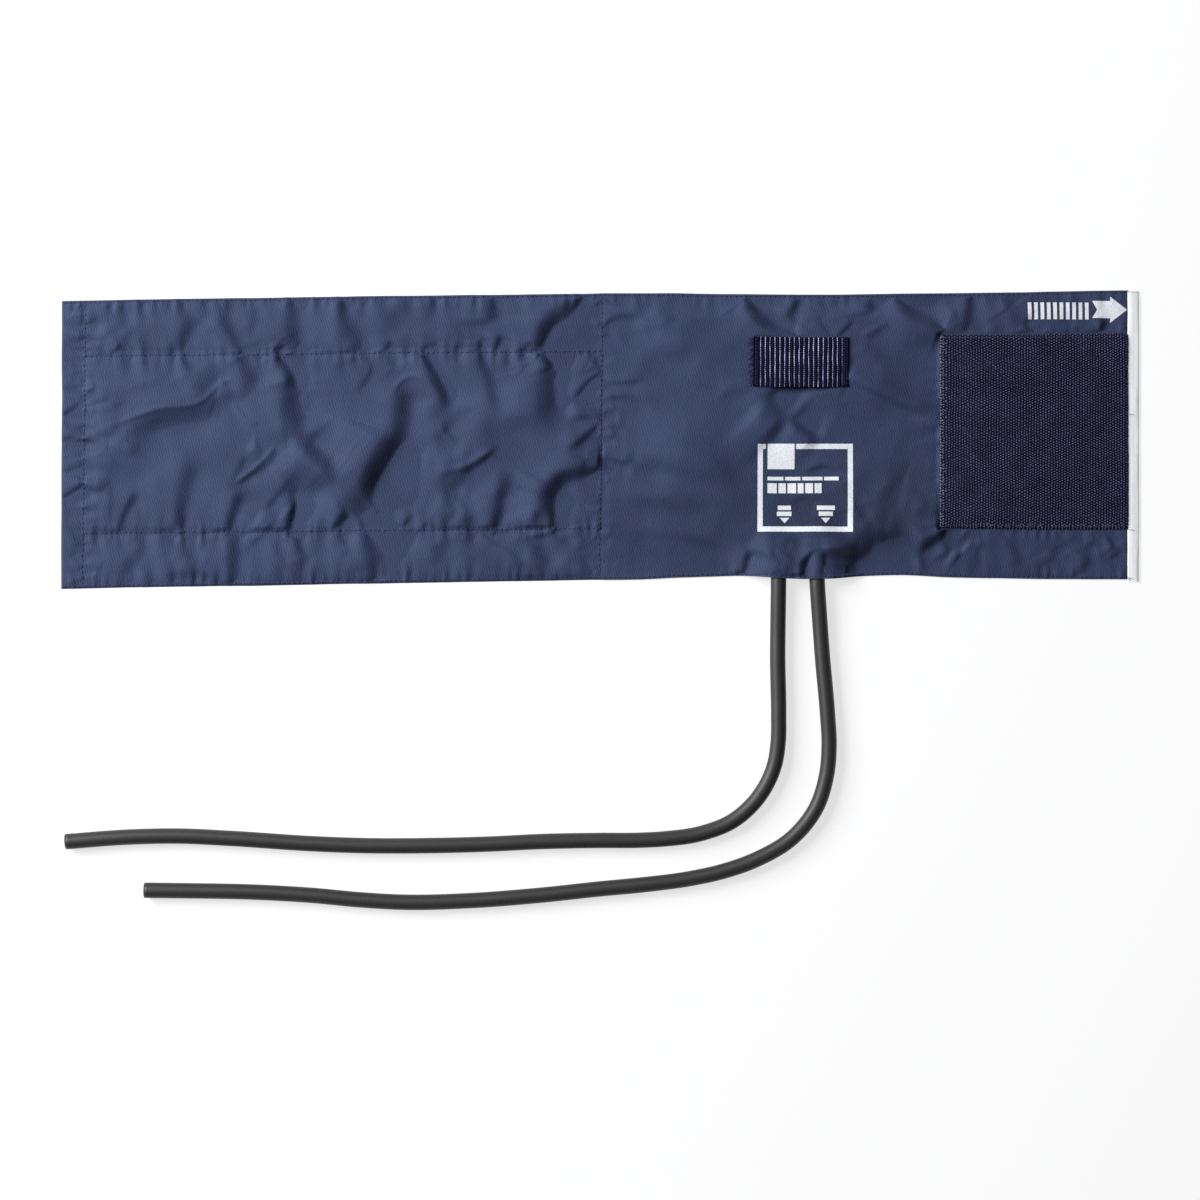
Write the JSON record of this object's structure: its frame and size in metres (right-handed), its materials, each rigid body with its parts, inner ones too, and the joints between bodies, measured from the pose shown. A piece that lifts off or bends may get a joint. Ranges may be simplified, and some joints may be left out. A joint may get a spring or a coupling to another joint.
{
  "type": "blood pressure cuff",
  "caption": "Open inflatable upper-arm cuff: cloth pocket with flat rubber bladder, hook patch, loop flap, gauge webbing and two rubber hoses; rolls round an arm.",
  "frame": {"origin": "on the skin face, half-way across the cuff width, midway between the two hose outlets", "axes": "+X along the length towards the index end, +Z out of the outer face, hoses leave towards -Y"},
  "size_m": [0.5434, 0.3116, 0.0095],
  "materials": {
    "nylon_outer": "satin coated nylon",
    "nylon_inner": "satin coated nylon",
    "nylon_flap": "satin coated nylon",
    "loop_pile": "brushed loop pile",
    "hook_tape": "woven hook tape",
    "webbing": "ribbed webbing",
    "strip_white": "matte coated tape",
    "bladder_rubber": "matte",
    "hose_rubber": "satin"
  },
  "bodies": {
    "root": {"outer_panel_root": "nylon_outer", "inner_panel_root": "nylon_inner", "bladder_root": "bladder_rubber", "gauge_webbing": "webbing", "hose_a_stub": "hose_rubber", "hose_b_stub": "hose_rubber"},
    "right_1": {"outer_panel_right_1": "nylon_outer", "inner_panel_right_1": "nylon_inner", "bladder_right_1": "bladder_rubber"},
    "right_2": {"outer_panel_right_2": "nylon_outer", "inner_panel_right_2": "nylon_inner", "bladder_right_2": "bladder_rubber"},
    "right_3": {"outer_panel_right_3": "nylon_outer", "inner_panel_right_3": "nylon_inner", "bladder_right_3": "bladder_rubber", "hook_patch_1": "hook_tape"},
    "right_4": {"outer_panel_right_4": "nylon_outer", "inner_panel_right_4": "nylon_inner", "bladder_right_4": "bladder_rubber", "hook_patch_2": "hook_tape"},
    "right_5": {"outer_panel_right_5": "nylon_outer", "inner_panel_right_5": "nylon_inner", "hook_patch_3": "hook_tape", "index_strip": "strip_white"},
    "left_1": {"outer_panel_left_1": "nylon_outer", "inner_panel_left_1": "nylon_inner", "bladder_left_1": "bladder_rubber"},
    "left_2": {"outer_panel_left_2": "nylon_outer", "inner_panel_left_2": "nylon_inner", "bladder_left_2": "bladder_rubber"},
    "left_3": {"outer_panel_left_3": "nylon_outer", "inner_panel_left_3": "nylon_inner", "bladder_left_3": "bladder_rubber"},
    "flap_1": {"flap_cover_1": "nylon_flap", "loop_panel_1": "loop_pile"},
    "flap_2": {"flap_cover_2": "nylon_flap", "loop_panel_2": "loop_pile"},
    "flap_3": {"flap_cover_3": "nylon_flap", "loop_panel_3": "loop_pile"},
    "flap_4": {"flap_cover_4": "nylon_flap", "loop_panel_4": "loop_pile"},
    "flap_5": {"flap_cover_5": "nylon_flap", "loop_panel_5": "loop_pile"},
    "flap_6": {"flap_cover_6": "nylon_flap", "loop_panel_6": "loop_pile"},
    "flap_7": {"flap_cover_7": "nylon_flap", "loop_panel_7": "loop_pile"},
    "flap_8": {"flap_cover_8": "nylon_flap", "loop_panel_8": "loop_pile"},
    "flap_9": {"flap_cover_9": "nylon_flap", "loop_panel_9": "loop_pile"},
    "hose_a_outlet": {"hose_a_outlet": "hose_rubber"},
    "hose_a_curve": {"hose_a_curve": "hose_rubber"},
    "hose_a_run": {"hose_a_run": "hose_rubber"},
    "hose_b_outlet": {"hose_b_outlet": "hose_rubber"},
    "hose_b_curve": {"hose_b_curve": "hose_rubber"},
    "hose_b_run": {"hose_b_run": "hose_rubber"}
  },
  "joints": [
    {"name": "wrap", "type": "hinge", "parent": "root", "child": "left_1", "pos_m": [-0.017, 0, 0], "axis": [0, -1, 0], "range_deg": [0, 35.24]},
    {"name": "wrap_left_2", "type": "hinge", "parent": "left_1", "child": "left_2", "pos_m": [-0.0445, 0, 0], "axis": [0, -1, 0], "range_deg": [0, 31.7]},
    {"name": "wrap_left_3", "type": "hinge", "parent": "left_2", "child": "left_3", "pos_m": [-0.072, 0, 0], "axis": [0, -1, 0], "range_deg": [0, 31.39]},
    {"name": "wrap_flap_1", "type": "hinge", "parent": "left_3", "child": "flap_1", "pos_m": [-0.0995, 0, 0], "axis": [0, -1, 0], "range_deg": [0, 28.07]},
    {"name": "wrap_flap_2", "type": "hinge", "parent": "flap_1", "child": "flap_2", "pos_m": [-0.12974, 0, 0], "axis": [0, -1, 0], "range_deg": [0, 30.9]},
    {"name": "wrap_flap_3", "type": "hinge", "parent": "flap_2", "child": "flap_3", "pos_m": [-0.15999, 0, 0], "axis": [0, -1, 0], "range_deg": [0, 38.27]},
    {"name": "wrap_flap_4", "type": "hinge", "parent": "flap_3", "child": "flap_4", "pos_m": [-0.19023, 0, 0], "axis": [0, -1, 0], "range_deg": [0, 30.64]},
    {"name": "wrap_flap_5", "type": "hinge", "parent": "flap_4", "child": "flap_5", "pos_m": [-0.22048, 0, 0], "axis": [0, -1, 0], "range_deg": [0, 28.91]},
    {"name": "wrap_flap_6", "type": "hinge", "parent": "flap_5", "child": "flap_6", "pos_m": [-0.25072, 0, 0], "axis": [0, -1, 0], "range_deg": [0, 28.01]},
    {"name": "wrap_flap_7", "type": "hinge", "parent": "flap_6", "child": "flap_7", "pos_m": [-0.28097, 0, 0], "axis": [0, -1, 0], "range_deg": [0, 27.79]},
    {"name": "wrap_flap_8", "type": "hinge", "parent": "flap_7", "child": "flap_8", "pos_m": [-0.31121, 0, 0], "axis": [0, -1, 0], "range_deg": [0, 30.9]},
    {"name": "wrap_flap_9", "type": "hinge", "parent": "flap_8", "child": "flap_9", "pos_m": [-0.34146, 0, 0], "axis": [0, -1, 0], "range_deg": [0, 35.24]},
    {"name": "wrap_right_1", "type": "hinge", "parent": "root", "child": "right_1", "pos_m": [0.017, 0, 0], "axis": [0, 1, 0], "range_deg": [0, 35.86]},
    {"name": "wrap_right_2", "type": "hinge", "parent": "right_1", "child": "right_2", "pos_m": [0.0441, 0, 0], "axis": [0, 1, 0], "range_deg": [0, 32.19]},
    {"name": "wrap_right_3", "type": "hinge", "parent": "right_2", "child": "right_3", "pos_m": [0.0712, 0, 0], "axis": [0, 1, 0], "range_deg": [0, 35.29]},
    {"name": "wrap_right_4", "type": "hinge", "parent": "right_3", "child": "right_4", "pos_m": [0.103, 0, 0], "axis": [0, 1, 0], "range_deg": [0, 38.52]},
    {"name": "wrap_right_5", "type": "hinge", "parent": "right_4", "child": "right_5", "pos_m": [0.1349, 0, 0], "axis": [0, 1, 0], "range_deg": [0, 38.92]},
    {"name": "hose_a_swing", "type": "hinge", "parent": "root", "child": "hose_a_outlet", "pos_m": [-0.01398, -0.074, 0.00475], "axis": [0, 0, -1], "range_deg": [0, 12]},
    {"name": "hose_a_lift", "type": "hinge", "parent": "hose_a_outlet", "child": "hose_a_curve", "pos_m": [-0.0099, -0.102, 0.0079], "axis": [-1, 0, 0], "range_deg": [0, 45]},
    {"name": "hose_a_bend", "type": "hinge", "parent": "hose_a_curve", "child": "hose_a_run", "pos_m": [-0.185, -0.2021, 0.004], "axis": [0, 0, -1], "range_deg": [0, 12]},
    {"name": "hose_b_swing", "type": "hinge", "parent": "root", "child": "hose_b_outlet", "pos_m": [0.01334, -0.074, 0.00475], "axis": [0, 0, 1], "range_deg": [0, 12]},
    {"name": "hose_b_lift", "type": "hinge", "parent": "hose_b_outlet", "child": "hose_b_curve", "pos_m": [0.0113, -0.102, 0.0079], "axis": [-1, 0, 0], "range_deg": [0, 45]},
    {"name": "hose_b_bend", "type": "hinge", "parent": "hose_b_curve", "child": "hose_b_run", "pos_m": [-0.165, -0.23761, 0.004], "axis": [0, 0, 1], "range_deg": [0, 12]}
  ],
  "couplings": [
    {"joint": "wrap_left_2", "follows": "wrap", "ratio": 0.88536},
    {"joint": "wrap_left_3", "follows": "wrap", "ratio": 0.87656},
    {"joint": "wrap_flap_1", "follows": "wrap", "ratio": 0.78235},
    {"joint": "wrap_flap_2", "follows": "wrap", "ratio": 0.86266},
    {"joint": "wrap_flap_3", "follows": "wrap", "ratio": 1.0718},
    {"joint": "wrap_flap_4", "follows": "wrap", "ratio": 0.85528},
    {"joint": "wrap_flap_5", "follows": "wrap", "ratio": 0.80619},
    {"joint": "wrap_flap_6", "follows": "wrap", "ratio": 0.78065},
    {"joint": "wrap_flap_7", "follows": "wrap", "ratio": 0.7744},
    {"joint": "wrap_flap_8", "follows": "wrap", "ratio": 0.86266},
    {"joint": "wrap_flap_9", "follows": "wrap", "ratio": 0.98581},
    {"joint": "wrap_right_1", "follows": "wrap", "ratio": 1.0034},
    {"joint": "wrap_right_2", "follows": "wrap", "ratio": 0.89926},
    {"joint": "wrap_right_3", "follows": "wrap", "ratio": 0.98723},
    {"joint": "wrap_right_4", "follows": "wrap", "ratio": 1.0789},
    {"joint": "wrap_right_5", "follows": "wrap", "ratio": 1.0902}
  ]
}
